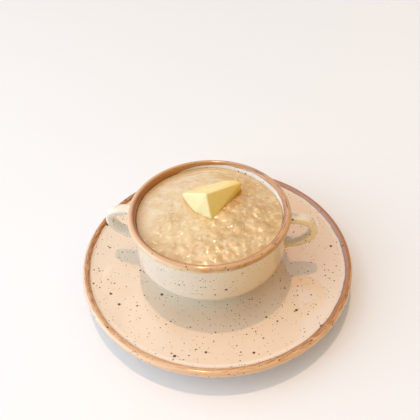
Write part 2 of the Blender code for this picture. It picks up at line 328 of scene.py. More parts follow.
def put(tree, kind, inputs=None, **settings):
    """Adds a node, sets it up and feeds its inputs."""
    made = tree.nodes.new(kind)
    for name, value in settings.items():
        setattr(made, name, value)
    return feed(made, inputs or {})


class Value:
    """A number that nodes work out, for use in plain sums."""

    def __init__(self, socket):
        self.socket = socket

    def calc(self, operation, *values):
        nodes, inputs = self.socket.id_data, dict(enumerate(values))
        return Value(put(nodes, "ShaderNodeMath", inputs, operation=operation).outputs[0])

    def __add__(self, other):
        return self.calc("ADD", self, other)

    def __sub__(self, other):
        return self.calc("SUBTRACT", self, other)

    def __rsub__(self, other):
        return self.calc("SUBTRACT", other, self)

    def __mul__(self, other):
        return self.calc("MULTIPLY", self, other)

    def __truediv__(self, other):
        return self.calc("DIVIDE", self, other)

    def __abs__(self):
        return self.calc("ABSOLUTE", self)

    def at_least(self, other):
        return self.calc("MAXIMUM", self, other)

    def step(self, low, high):
        """Goes smoothly from 0 at low to 1 at high; low may be the greater of the two."""
        inputs = {"Value": self, "From Min": low, "From Max": high}
        return Value(put(self.socket.id_data, "ShaderNodeMapRange", inputs,
                         interpolation_type="SMOOTHSTEP").outputs["Result"])


def vector_calc(operation, *values):
    nodes = next(value.id_data for value in values if isinstance(value, bpy.types.NodeSocket))
    made = put(nodes, "ShaderNodeVectorMath", dict(enumerate(values)), operation=operation).outputs
    return Value(made["Value"]) if operation in ("LENGTH", "DOT_PRODUCT") else made["Vector"]


def scaled(vector, factor, nodes):
    inputs = {0: vector, "Scale": factor}
    return put(nodes, "ShaderNodeVectorMath", inputs, operation="SCALE").outputs["Vector"]


def parts_of(socket):
    """The three parts of a vector or of a colour."""
    kind = "ShaderNodeSeparateColor" if socket.type == "RGBA" else "ShaderNodeSeparateXYZ"
    return [Value(part) for part in put(socket.id_data, kind, {0: socket}).outputs]


def attribute(tree, name):
    return Value(put(tree, "ShaderNodeAttribute", attribute_name=name).outputs["Fac"])


def facing_parts(tree):
    """The parts of the surface's normal."""
    return parts_of(put(tree, "ShaderNodeNewGeometry").outputs["Normal"])


def layered(base, *layers):
    """A base colour and others laid over it one after another, each where its mask shows."""
    for mask, tint in layers:
        ends = [end if isinstance(end, bpy.types.NodeSocket) else (*end, 1.0) for end in (base, tint)]
        inputs = {0: mask, 6: ends[0], 7: ends[1]}
        base = put(mask.socket.id_data, "ShaderNodeMix", inputs, data_type="RGBA").outputs[2]
    return base


def noise_at(where, size, detail=2.0, roughness=0.5):
    """Noise about 0.5, with features of a size in millimetres."""
    inputs = {"Vector": where, "Scale": 1.0 / size, "Detail": detail, "Roughness": roughness}
    return Value(put(where.id_data, "ShaderNodeTexNoise", inputs).outputs[0])


def bump(height, depth, strength):
    """A relief in metres; small and soft enough to leave the outline to the mesh."""
    inputs = {"Height": height, "Distance": depth, "Strength": strength}
    return put(height.socket.id_data, "ShaderNodeBump", inputs).outputs[0]


def new_material(name):
    made = bpy.data.materials.new(name)
    made.use_nodes = True
    return made, made.node_tree, made.node_tree.nodes["Principled BSDF"]


def millimetres(tree, centre=(0.0, 0.0)):
    """Place on the piece in millimetres, from an upright axis."""
    where = put(tree, "ShaderNodeTexCoord").outputs["Object"]
    moved = vector_calc("SUBTRACT", where, (centre[0] * MM, centre[1] * MM, 0.0))
    return scaled(moved, 1.0 / MM, tree)


def axis_distance(where):
    return vector_calc("LENGTH", vector_calc("MULTIPLY", where, (1.0, 1.0, 0.0)))


def specks(where, cell, radius, chance):
    """Round specks strewn through the clay, cut by its surface; chance is a number or a Value."""
    inputs = {"Vector": where, "Scale": 1.0 / cell, "Randomness": 1.0}
    cells = put(where.id_data, "ShaderNodeTexVoronoi", inputs).outputs
    lot, size = parts_of(cells["Color"])[:2]
    reach = radius / cell
    edge = (size * 0.65 + 0.05 + noise_at(where, radius * 1.2, 1.0) * 0.6) * reach
    shown = (edge - Value(cells["Distance"])).step(-0.03 * reach, 0.1 * reach)
    return shown * lot.calc("LESS_THAN", lot, chance)


# Glazes


def speckled(where, chance=0.5):
    """Mask of the iron specks in three sizes, thicker in some places than in others."""
    crowd = (noise_at(where, 11.0, 2.0, 0.7) * (2.2 * chance) - 0.25 * chance).at_least(0.0)
    large, middle, small = (specks(where, *sizes, crowd) for sizes in IRON_SPECKS)
    return large.at_least(middle.at_least(small))


def finish_glaze(shader, where, base, spots, iron):
    """Specks over the base colour, and a thick glossy glaze that isn't quite even."""
    feed(shader, {
        "Base Color": layered(base, (spots * 0.97, iron)),
        "Roughness": noise_at(where, 14.0) * 0.10 + 0.06 + spots * 0.2,
        "Coat Weight": 1.0 - spots * 0.8, "Coat IOR": 1.75, "Coat Roughness": 0.03,
        "Normal": bump(noise_at(where, 5.0, 1.0) * 0.10 - spots * 0.05, 0.001, 0.35),
    })


def along_rim(where, radius, rim, across):
    """Place round the axis for marks that are drawn out along a rim of that radius."""
    x, y = (part / radius * rim for part in parts_of(where)[:2])
    return put(where.id_data, "ShaderNodeCombineXYZ", {"X": x, "Y": y, "Z": across}).outputs[0]


def direction_parts(where, radius):
    """How far right and how far to the front a place lies, from -1 to 1."""
    x, y = parts_of(where)[:2]
    return x / radius, y * -1.0 / radius


def clouded(where, tint, size):
    """A glaze colour that is a little darker in some places and paler in others."""
    ends = [[min(1.0, part * spread) for part in tint] for spread in (0.95, 1.05)]
    return layered(ends[0], (noise_at(where, size, 3.0), ends[1]))


def saucer_material(ware):
    """Peach cream within a brown edge; the radii are in millimetres from the saucer's axis."""
    made, tree, shader = new_material("saucer_speckled_glaze")
    where = millimetres(tree)
    radius = axis_distance(where)
    right, front = direction_parts(where, radius)
    fillet = radius.step(95.5, 97.0) * radius.step(99.6, 98.6)
    from_bowl = axis_distance(vector_calc("SUBTRACT", where, (*BOWL_AT, 0.0)))
    cream = layered(
        clouded(where, ware.saucer_glaze, 30.0),
        # Painted highlight of the left lamp: the fillet ring is painted pale at the left and the front
        # only.
        (fillet * (front - right).step(-0.4, 0.8) * 0.9, ware.fillet),
        # Painted light on the saucer's left side.
        (right.step(-0.2, -1.0) * 0.8, ware.painted_left_light),
        # Painted shade on the saucer's back right.
        ((right * 0.7 - front * 0.6).step(0.2, 0.9), ware.painted_back_right_shade),
        # Painted reflection of the bowl in the well in front of its foot.
        (from_bowl.step(61.0, 43.0) * (front - right * 0.6).step(0.0, 0.8), ware.pool),
    )
    streaks = along_rim(where, radius, SAUCER_RADIUS, radius * 7.0)
    wander = noise_at(streaks, 16.0, 3.0) * 1.8 + radius
    streak = noise_at(streaks, 7.0, 3.0)
    start = SAUCER_RADIUS - ware.band / MM + 0.9
    ring = wander.step(start - 0.4, start + 0.3)
    line = ring * wander.step(start + 1.4, start + 0.3)
    # More amber towards the front, less towards the back and the right.
    thin = front * 0.24 - right * 0.12 - abs(right) * 0.11 + streak
    band = layered(
        ware.brown,
        ((radius.step(102.4, 104.4) * 0.25 + thin).step(0.35, 0.85) * 0.95, ware.amber),
        (line * (right + streak).step(0.1, 1.4) * 0.8, ware.dark_brown),
    )
    finish_glaze(shader, where, layered(cream, (ring, band)), speckled(where), ware.iron)
    return made


def bowl_material(ware):
    """Cream below a brown lip; radii and heights are in millimetres."""
    made, tree, shader = new_material("bowl_speckled_glaze")
    where = millimetres(tree, BOWL_AT)
    radius, height = axis_distance(where), parts_of(where)[2]
    right, front = direction_parts(where, radius)
    back_right = right * 0.7 - front * 0.5
    across = radius + height
    streaks, fine = (along_rim(where, radius, LIP_CENTRE[0], across * pace) for pace in (3.0, 9.0))
    wander = noise_at(streaks, 13.0, 3.0) - 0.5
    streak = noise_at(streaks, 5.0, 3.0) - 0.5
    front_right = (right * 0.9 + front * 0.35 + wander).step(0.25, 0.8)
    outer = radius.step(56.2, 58.2)
    inside_edge = back_right + 58.6 - back_right.step(0.3, -0.1) * 2.8
    above = wander * 1.8 + height - (inside_edge + outer * (57.1 - inside_edge))

    dark_line = (streak * 0.8 + radius).step(56.1, 55.1) * back_right.step(0.8, 0.1)
    dark_line *= front.step(-0.7, 0.0)
    veins = noise_at(fine, 15.0, 1.0).step(0.48, 0.58) * right.step(0.2, 0.8) * radius.step(58.4, 57.0)
    band = layered(
        ware.lip_inside,
        (radius.step(55.4, 57.2), ware.lip_top),
        (dark_line * 0.8, ware.dark_brown),
        (veins * 0.8, ware.dark_brown),
        (outer * (streak * 1.5 + height).step(61.2, 59.0), ware.lip_outside),
        (outer * (streak * 2.0 + height).step(61.4, 59.8) * front_right, ware.lip_run),
        (outer * height.step(58.2, 57.4) * front_right * 0.9, ware.ochre_line),
        (outer * (streak * 2.0 + height).step(59.4, 57.9) * (1.0 - front_right) * 0.9, ware.straw),
    )

    wall = radius.step(40.0, 50.0) * radius.step(60.0, 58.4)
    handle = radius.step(58.4, 60.0) * right.step(0.0, 0.5) * height.step(58.0, 57.0)
    facing = facing_parts(tree)
    # Faces that face the front or down, where the bounce light is painted.
    under = (facing[1] * -1.0).step(0.1, 0.8).at_least(facing[2].step(-0.1, -0.8))
    cream = layered(
        clouded(where, ware.bowl_glaze, 25.0),
        # Painted cool light on the bowl's left side.
        (wall * right.step(-0.1, -0.8) * 0.7, ware.painted_cool_light),
        (outer * above.step(-2.4, -0.4) * front.step(-0.4, 0.6) * 0.8, ware.straw),
        # Painted warm shade on the bowl's right side.
        (wall * right.step(-0.2, 0.9) * 0.75, ware.painted_warm_shade),
        # Painted light on the inner wall at the back right.
        (radius.step(55.8, 54.6) * back_right.step(0.1, 0.6), ware.painted_inner_light),
        # Painted warm bounce light on the right handle.
        (handle * under * 0.75, ware.painted_handle_bounce),
    )
    lip = above.step(-0.3, 0.4) * radius.step(53.0, 53.6)
    finish_glaze(shader, where, layered(cream, (lip, band)), speckled(where, 0.42), ware.iron)
    return made


# Mesh helpers


def link(name, mesh):
    made = bpy.data.objects.new(name, mesh)
    bpy.context.scene.collection.objects.link(made)
    return made


def object_of(name, body, material, crease=50.0):
    """A shaded object from a bmesh, its normals pointing out."""
    bmesh.ops.recalc_face_normals(body, faces=body.faces)
    mesh = bpy.data.meshes.new(name)
    body.to_mesh(mesh)
    body.free()
    mesh.materials.append(material)
    mesh.shade_smooth()
    mesh.set_sharp_from_angle(angle=math.radians(crease))
    return link(name, mesh)


def evaluated_mesh(thing):
    """What an object's modifiers make of it, as a plain mesh; the object itself goes."""
    bpy.context.view_layer.update()
    found = thing.evaluated_get(bpy.context.evaluated_depsgraph_get())
    mesh = bpy.data.meshes.new_from_object(found)
    bpy.data.objects.remove(thing, do_unlink=True)
    return mesh


def bmesh_of(mesh):
    """The mesh as a bmesh; the mesh itself goes."""
    body = bmesh.new()
    body.from_mesh(mesh)
    bpy.data.meshes.remove(mesh)
    return body


def settle(piece, node):
    """The piece rides on the part's only body and stands for a node, which is hidden."""
    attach(piece, "root")
    if node:
        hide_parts(node)


def between(start, end, part):
    """The point a part of the way from start to end."""
    return tuple(first + (last - first) * part for first, last in zip(start, end))


def arc(centre, half, start, end, steps):
    """Points along an ellipse's arc, as (radius, height), from start to end in degrees."""
    angles = [math.radians(start + (end - start) * index / steps) for index in range(steps + 1)]
    return [(centre[0] + half[0] * math.cos(turn), centre[1] + half[1] * math.sin(turn)) for turn in angles]


def bend(start, corner, end, steps):
    """Points of a corner rounded off between two points, without the two."""
    parts = [index / steps for index in range(1, steps)]
    return [between(between(start, corner, part), between(corner, end, part), part) for part in parts]


def straight(start, end, pace):
    """Points on a straight line at a pace in millimetres, without its end."""
    count = max(1, round(math.dist(start, end) / pace))
    return [between(start, end, index / count) for index in range(count)]


# Geometry Nodes


def node_group(name, inputs):
    """A tree with named inputs besides its geometry, and the sockets of those inputs."""
    tree = bpy.data.node_groups.new(name, "GeometryNodeTree")
    for title, kind in {"Geometry": "Geometry", **inputs}.items():
        tree.interface.new_socket(title, in_out="INPUT", socket_type="NodeSocket" + kind)
    tree.interface.new_socket("Geometry", in_out="OUTPUT", socket_type="NodeSocketGeometry")
    return tree, put(tree, "NodeGroupInput").outputs


def geometry(tree, kind, inputs, **settings):
    return put(tree, "GeometryNode" + kind, inputs, **settings).outputs[0]


def finished_group(tree, shape, material):
    """Ends a tree with real faces that have their material."""
    real = geometry(tree, "RealizeInstances", {"Geometry": shape})
    done = geometry(tree, "SetMaterial", {"Geometry": real, "Material": material})
    put(tree, "NodeGroupOutput", {"Geometry": done})
    return tree


def run_group(thing, group, values):
    """What a node group makes of an object, as a plain mesh; its inputs are set by identifier."""
    modifier = thing.modifiers.new("group", "NODES")
    modifier.node_group = group
    known = {item.name: item.identifier for item in group.interface.items_tree if item.in_out == "INPUT"}
    for name, value in values.items():
        modifier[known[name]] = value
    return evaluated_mesh(thing)


def turning_nodes():
    """Turns an outline of edges, drawn as radius along X and depth along Y, about Z."""
    tree, given = node_group("Turn on the wheel", {
        "Segments": "Int", "Wheel Radius": "Float", "Glaze": "Material"})
    offset = put(tree, "ShaderNodeCombineXYZ", {"X": Value(given["Wheel Radius"]) * -1.0}).outputs[0]
    outline = geometry(tree, "SetPosition", {"Geometry": given["Geometry"], "Offset": offset})
    outline = geometry(tree, "MeshToCurve", {"Mesh": outline})
    wheel = geometry(tree, "CurvePrimitiveCircle", {
        "Resolution": given["Segments"], "Radius": given["Wheel Radius"]})
    wheel = geometry(tree, "SetCurveNormal", {"Curve": wheel}, mode="Z_UP")
    ware = geometry(tree, "CurveToMesh", {"Curve": wheel, "Profile Curve": outline})
    closed = geometry(tree, "MergeByDistance", {"Geometry": ware, "Distance": 0.01 * MM})
    return finished_group(tree, closed, given["Glaze"])


def turned(profile, segments, material):
    """A bmesh turned by the node group from an outline given as (radius, height)."""
    mesh = bpy.data.meshes.new("outline")
    points = [(radius * MM, -height * MM, 0.0) for radius, height in profile]
    mesh.from_pydata(points, [(index, index + 1) for index in range(len(points) - 1)], [])
    group = bpy.data.node_groups.get("Turn on the wheel") or turning_nodes()
    values = {"Segments": segments, "Wheel Radius": WHEEL_RADIUS * MM, "Glaze": material}
    body = bmesh_of(run_group(link("outline", mesh), group, values))
    if len(body.faces) < segments:
        raise RuntimeError("the outline wasn't turned")
    return body


def foot_ring(outer, inner, base, recess):
    """Outline of a foot ring, from its outer side round under it to the recess within."""
    return [
        (outer, base + FOOT_CHAMFER), (outer - FOOT_CHAMFER, base),
        (inner + FOOT_CHAMFER, base), (inner, base + FOOT_CHAMFER),
        (inner - FOOT_CHAMFER, recess), (0, recess),
    ]


def saucer_top(radius):
    """Height of the saucer's upper face inside its rim."""
    part = max(0.0, radius - SAUCER_WELL_RADIUS) / (SAUCER_RISE_RADIUS - SAUCER_WELL_RADIUS)
    return SAUCER_WELL_HEIGHT + (SAUCER_RISE_HEIGHT - SAUCER_WELL_HEIGHT) * part ** SAUCER_RISE_POWER


def saucer_profile():
    radii = [SAUCER_RISE_RADIUS * index / 48 for index in range(49)]
    face = [(radius, saucer_top(radius)) for radius in radii]
    edge = (SAUCER_RADIUS - SAUCER_EDGE_RADIUS, SAUCER_EDGE_HEIGHT)
    rim = arc(edge, (SAUCER_EDGE_RADIUS, SAUCER_EDGE_RADIUS), 140, -70, 18)
    fillet = bend(face[-1], SAUCER_FILLET, rim[0], 6)
    underside = [(radius, saucer_top(radius) - SAUCER_THICKNESS) for radius in SAUCER_UNDERSIDE]
    under_rim = bend(rim[-1], SAUCER_UNDER_RIM, underside[0], 5)
    foot = foot_ring(SAUCER_FOOT_OUTER, SAUCER_FOOT_INNER, 0.0, SAUCER_RECESS_HEIGHT)
    return face + fillet + rim + under_rim + underside + foot


def bowl_inside(gap=0.0, steps=24):
    """The inner wall and the floor, from the lip down to the axis, drawn in by a gap."""
    reach = BOWL_FLOOR_RADIUS - gap
    centre = (BOWL_WALL_INNER - BOWL_FLOOR_RADIUS, BOWL_FLOOR_HEIGHT + BOWL_FLOOR_RADIUS)
    return arc(centre, (reach, reach), 0, -90, steps) + [(0, BOWL_FLOOR_HEIGHT + gap)]


def bowl_profile():
    floor = bowl_inside()[::-1]
    lip = arc(LIP_CENTRE, LIP_HALF, 180, -55, 26)
    inner_top, outer_top = (BOWL_WALL_INNER, LIP_INNER_START), (BOWL_WALL_OUTER, LIP_OUTER_START)
    inside = floor + straight(floor[-1], inner_top, 2.0)[1:] + [inner_top]
    inside += bend(inner_top, LIP_CORNERS[0], lip[0], 3)
    under_lip = bend(lip[-1], LIP_CORNERS[1], outer_top, 5)
    corner = (BOWL_WALL_OUTER - BOWL_CORNER_RADIUS, BOWL_CORNER_HEIGHT)
    wall = straight(outer_top, (BOWL_WALL_OUTER, BOWL_CORNER_HEIGHT), 2.0)
    wall += arc(corner, (BOWL_CORNER_RADIUS, BOWL_CORNER_RADIUS), 0, -BOWL_CORNER_TURN, 14)
    foot_top = (BOWL_FOOT_OUTER + 0.8, BOWL_FOOT_TOP)
    wall += straight(wall[-1], foot_top, 2.0)[1:] + [foot_top]
    foot = foot_ring(BOWL_FOOT_OUTER, BOWL_FOOT_INNER, BOWL_BASE, BOWL_RECESS_HEIGHT)
    return inside + lip + under_lip + wall + foot


# Handles


def handle_point(part):
    """The loop's middle line, from its upper end (0) to its lower end (1)."""
    angle = math.pi / 2 - math.pi * part
    power = 2 / HANDLE_SQUARENESS
    out = max(0.0, math.cos(angle)) ** power
    up = math.copysign(abs(math.sin(angle)) ** power, math.sin(angle))
    radius = HANDLE_ROOT + (HANDLE_TIP - HANDLE_ROOT) * out
    return Vector((radius, 0.0, HANDLE_HEIGHT + HANDLE_HALF_HEIGHT * up + HANDLE_LEAN * out * out))


def rounded(value):
    """Fills out a circle's sine or cosine towards a rounded square's."""
    return math.copysign(abs(value) ** 0.8, value)


def add_handle(body, side, stations=72, sides=32):
    """Sweeps a rounded strap along the loop, with its glaze drawn out in a fillet on the wall."""
    rings = []
    tiny = 0.004
    for station in range(stations):
        part = 0.5 - 0.5 * math.cos(math.pi * station / (stations - 1))
        here = handle_point(part)
        ahead, behind = handle_point(min(1.0, part + tiny)), handle_point(max(0.0, part - tiny))
        along = (ahead - behind).normalized()
        outward = Vector((0, 1, 0)).cross(along)
        flare = 1 + HANDLE_FLARE * max(0.0, 1 - (here.x - HANDLE_ROOT) / HANDLE_FLARE_LENGTH) ** 2
        swell = 1 + HANDLE_SWELL * ((here.x - HANDLE_ROOT) / (HANDLE_TIP - HANDLE_ROOT)) ** 2
        clear = min(HANDLE_FILLET, max(0.0, here.x - BOWL_WALL_OUTER))
        fillet = HANDLE_FILLET - math.sqrt(HANDLE_FILLET ** 2 - (HANDLE_FILLET - clear) ** 2)
        ring = []
        for index in range(sides):
            angle = math.tau * index / sides
            across = rounded(math.cos(angle)) * HANDLE_HALF_WIDTH * flare + math.cos(angle) * fillet
            thick = rounded(math.sin(angle)) * HANDLE_HALF_THICKNESS * swell + math.sin(angle) * fillet
            point = here + Vector((0, across, 0)) + outward * thick
            sink = BOWL_WALL_OUTER - math.sqrt(BOWL_WALL_OUTER ** 2 - point.y ** 2)
            point.x -= sink * max(0.0, 1 - (here.x - HANDLE_ROOT) / HANDLE_FLARE_LENGTH)
            ring.append(body.verts.new((side * point.x * MM, point.y * MM, point.z * MM)))
        rings.append(ring)
    for first, second in zip(rings, rings[1:]):
        for index in range(sides):
            after = (index + 1) % sides
            body.faces.new((first[index], first[after], second[after], second[index]))
    body.faces.new(rings[0])
    body.faces.new(rings[-1])


# Porridge


def blended(grid, u, v, ease=lambda part: part):
    """Values of a grid at places between its points."""
    i, j = np.floor(u).astype(int), np.floor(v).astype(int)
    f, g = ease(u - i), ease(v - j)
    near = grid[i, j] * (1 - f) + grid[i + 1, j] * f
    far = grid[i, j + 1] * (1 - f) + grid[i + 1, j + 1] * f
    return near * (1 - g) + far * g


def waves(x, y, size, seed):
    """Smooth random waves between -1 and 1, about as long as size."""
    lattice = np.random.default_rng(seed).uniform(-1, 1, (128, 128))
    return blended(lattice, x / size + 64.0, y / size + 64.0, lambda part: part * part * (3 - 2 * part))


def strewn(draw, reach):
    """A random place within reach of the axis."""
    radius, angle = reach * math.sqrt(draw.random()), draw.uniform(0, math.tau)
    return radius * math.cos(angle), radius * math.sin(angle)


def lumps():
    """Clots under the surface: place, half sizes, height and turn."""
    draw = random.Random(LUMP_SEED)
    found = []
    for _ in range(LUMPS):
        place = strewn(draw, LUMP_FIELD)
        rough = min(1.0, max(0.35, 0.65 + (place[0] - place[1]) / 90.0))
        fade = min(1.0, max(0.15, (LUMP_FADE[1] - math.hypot(*place)) / (LUMP_FADE[1] - LUMP_FADE[0])))
        height = draw.uniform(*LUMP_HEIGHT) * rough * fade
        half = draw.uniform(*LUMP_HALF_LENGTH), draw.uniform(*LUMP_HALF_WIDTH)
        found.append((place, half, height, draw.uniform(0, math.pi)))
    return found


def local(x, y, place, half, turn):
    """Places in the axes of a turned ellipse, in units of its half length and half width."""
    dx, dy = x - place[0], y - place[1]
    return ((dx * math.cos(turn) + dy * math.sin(turn)) / half[0],
            (dy * math.cos(turn) - dx * math.sin(turn)) / half[1])


def lump_height(x, y):
    piled = np.zeros_like(x)
    for place, half, height, turn in lumps():
        along, across = local(x, y, place, half, turn)
        piled += height * np.exp(-(along ** 2 + across ** 2) ** 1.25)
    return LUMP_LIMIT * (1 - np.exp(-piled / LUMP_LIMIT))


def edge_level(x, y):
    """Level of the porridge at the wall, in the direction of a place."""
    level = np.full_like(x, PORRIDGE_EDGE)
    for direction, half_width, change in PORRIDGE_EDGE_SWELLS:
        away = (np.degrees(np.arctan2(y, x)) - direction + 180) % 360 - 180
        level += change * np.exp(-(away / half_width) ** 2)
    return level


def roughness_at(x, y):
    """How lumpy the porridge is: little at the left and the back, much at the right and the front."""
    return np.clip(0.62 + x / 60.0 - y / 90.0 + 0.35 * waves(x, y, 14.0, 3), 0.08, 1.0)


def foot_distance(x, y):
    """Distance outside the butter's foot, negative within it."""
    nearest = np.full_like(x, -1e9)
    centre = np.mean(BUTTER_FOOT, axis=0)
    for first, second in zip(BUTTER_FOOT, BUTTER_FOOT[1:] + BUTTER_FOOT[:1]):
        run = np.subtract(second, first)
        normal = np.array((run[1], -run[0])) / np.hypot(*run)
        if np.dot(normal, np.subtract(first, centre)) < 0:
            normal = -normal
        nearest = np.maximum(nearest, (x - first[0]) * normal[0] + (y - first[1]) * normal[1])
    return nearest


def smooth_max(first, second, width):
    return np.maximum(first, second) + np.maximum(width - np.abs(first - second), 0) ** 2 / (4 * width)


def oat_flakes(count, seed):
    """Flakes that lie in the surface: place, half sizes, turn, tilt, rise and thickness."""
    draw = random.Random(seed)
    found = []
    while len(found) < count:
        place = strewn(draw, FLAKE_FIELD)
        rough = float(roughness_at(*np.array(place)))
        grown = draw.choice((1.0, 1.0, 1.0, 1.5))
        half = grown * draw.uniform(*FLAKE_HALF_LENGTH), grown * draw.uniform(*FLAKE_HALF_WIDTH)
        tilt = draw.gauss(0, FLAKE_TILT), draw.gauss(0, FLAKE_TILT)
        rise, thick = draw.uniform(*FLAKE_RISE), draw.uniform(*FLAKE_THICKNESS)
        turn = draw.uniform(0, math.pi)
        if draw.random() < rough ** 1.3 + 0.06:
            found.append((place, half, turn, tilt, rise, thick))
    return found


def field_window(place, reach):
    """The part of the field round a place."""
    bounds = []
    for centre in place:
        low = int((centre - reach + FIELD_HALF) / FIELD_PACE)
        high = int((centre + reach + FIELD_HALF) / FIELD_PACE) + 2
        bounds.append(slice(max(0, low), high))
    return tuple(bounds)


def softened(field, width):
    """The field blurred by a width in millimetres."""
    offsets = np.arange(-5, 6) * FIELD_PACE
    weights = np.exp(-0.5 * (offsets / width) ** 2)
    weights /= weights.sum()
    for axis in (0, 1):
        field = np.apply_along_axis(np.convolve, axis, field, weights, "same")
    return field


def sampled(field, x, y):
    return blended(field, (x + FIELD_HALF) / FIELD_PACE, (y + FIELD_HALF) / FIELD_PACE)


def lay_flakes(height, x, y, flakes):
    """Lays the flakes into the surface; gives the fields of the flakes and of their pale edges."""
    flake, rim = np.zeros_like(x), np.zeros_like(x)
    for place, half, turn, tilt, rise, thick in flakes:
        spot = field_window(place, 1.2 * half[0] + 1.5)
        along, across = local(x[spot], y[spot], place, half, turn)
        outline = along ** 2 + across ** 2
        ground = height[spot]
        inside = outline < 1.0
        if not inside.any():
            continue
        top = float(np.mean(ground[inside])) + rise
        top = top + tilt[0] * half[0] * along + tilt[1] * half[1] * across
        top += thick * np.clip(1 - outline, 0, 1) ** 0.7 - 0.8 * outline ** 3
        top = np.where(outline < 1.4, top, -1e3)
        shown = top > ground
        deeper = np.clip(flake[spot] + 0.5 + 0.5 * (top - ground), 0, 1)
        flake[spot] = np.where(shown, deeper, flake[spot])
        rim[spot] = np.where(shown, np.exp(-((outline - 0.55) / 0.2) ** 2), rim[spot])
        height[spot] = np.where(outline < 1.4, smooth_max(ground, top, FLAKE_BLEND), ground)
    return flake, rim


def porridge_surface(flakes, seed):
    """Fields of the surface's height and of its marks."""
    line = np.arange(-FIELD_HALF, FIELD_HALF, FIELD_PACE)
    x, y = np.meshgrid(line, line, indexing="ij")
    part = np.minimum(1.0, np.hypot(x, y) / (BOWL_WALL_INNER - GAP))
    edge = PORRIDGE_EDGE + (edge_level(x, y) - PORRIDGE_EDGE) * part ** 3
    base = edge + PORRIDGE_DOME * (1 - part ** PORRIDGE_DOME_POWER) + 0.35 * waves(x, y, 13.0, 1)
    rough = roughness_at(x, y)
    ragged_x, ragged_y = x + 0.8 * waves(x, y, 3.2, 61), y + 0.8 * waves(x, y, 3.2, 62)
    height = base + (0.3 + 0.6 * rough) * lump_height(x, y)
    height -= 0.6 * rough * (1 - np.abs(waves(x, y, 7.5, 21))) ** 3 - 0.15
    flake, rim = lay_flakes(height, ragged_x, ragged_y, oat_flakes(flakes, seed))
    height = softened(height, FIELD_SOFTNESS)
    front = np.clip((-y - x / 3 + 2.0) / 18.0, 0, 1)
    # Painted glints: curly lines over the front, raised a little and painted pale through the rim mark.
    glint_curl = np.exp(-(waves(ragged_x, ragged_y, 2.6, 71) / 0.17) ** 2) * front
    glint_curl *= np.clip(4 * waves(x, y, 3.4, 72) - 0.8, 0, 1) * np.clip(3 * waves(x, y, 2.2, 73), 0, 1)
    height += rough * (0.10 * waves(x, y, 3.4, 31) + 0.05 * waves(x, y, 1.9, 32)) + 0.08 * glint_curl
    back = np.exp(-((np.degrees(np.arctan2(y, x)) - 88) / 34) ** 2) * np.exp(-((part - 0.88) / 0.1) ** 2)
    height += 0.25 * back * np.sin(np.hypot(x, y) * 1.7 + 2.2 * waves(x, y, 8.0, 51))
    margin = np.maximum(0.0, (part - 1 + PORRIDGE_MARGIN) / PORRIDGE_MARGIN)
    height += 0.7 * (edge - height) * margin ** 2
    away = foot_distance(x, y)
    height -= 0.45 * np.exp(-(away / 0.9) ** 2)
    height = np.where(away < -2.5, BUTTER_BASE - 0.5, height)
    hollow = np.clip((base + 0.4 - height) / 1.0, 0, 1)
    # The rim mark: pale flake edges, and the curly lines as painted glints.
    pale = np.maximum(0.3 * rim * rough, glint_curl)
    # Painted shadow: the melt reaches farther on the butter's right.
    reach = 2.6 + 4.0 * np.clip(x / 10.0, 0, 1)
    return height, flake, pale, hollow, 1 - rough, np.exp(-np.maximum(away, 0) / reach)


def porridge_material(look):
    made, tree, shader = new_material("cooked_oats")
    where = millimetres(tree)
    right = parts_of(where)[0]
    flake, rim, hollow, film, melt_and_shadow = (attribute(tree, name) for name in MARKS)
    to_wall = axis_distance(millimetres(tree, BOWL_AT)).step(44.0, 54.0)
    base = layered(
        look.paste,
        (film.step(0.3, 0.8) * (noise_at(where, 6.5).step(0.42, 0.58) * 0.75 + 0.25), look.film),
        (flake * 0.6, look.oat),
        # Painted shade: the hollows between the clots darkened.
        (hollow.step(0.15, 0.9) * 0.65, look.crease),
        (noise_at(where, 9.0).step(0.42, 0.62) * (right * 0.007 + 0.72 - film * 0.35), look.crease),
        # Darker tan towards the right.
        (right.step(-5.0, 40.0) * 0.72, look.crease),
        # Painted shade along the wall, stronger at the left.
        (to_wall * (right.step(5.0, -30.0) * 0.3 + 0.4), look.crease),
        (noise_at(where, 5.0, 1.0).step(0.48, 0.66) * (0.52 - film * 0.4), look.pale_clot),
        # Pale flake edges, and painted glints on the curly lines.
        (rim * 0.85, look.flake_edge_and_glint),
        (specks(where, 5.5, 0.45, 0.4) * 0.35, look.crease),
        # Melted butter round the foot, darker on the right as painted shadow of the butter.
        (melt_and_shadow * (right.step(0.0, 10.0) * 0.35 + 0.5), look.melt_and_shadow_tint),
    )
    grain = noise_at(where, 1.1, 3.0) * 0.5 + noise_at(where, 3.2)
    wet = noise_at(where, 1.6, 1.0) * 0.25 + noise_at(where, 3.8, 1.0)
    feed(shader, {
        "Base Color": base, "Roughness": noise_at(where, 3.0) * 0.35 + 0.16,
        "Subsurface Weight": 0.6, "Subsurface Radius": (1.0, 0.78, 0.55), "Subsurface Scale": 0.0024,
        "Normal": bump(grain, 0.0003, 0.35),
        "Coat Weight": 1.0, "Coat Roughness": 0.08, "Coat Normal": bump(wet, 0.0013, 0.6),
    })
    return made


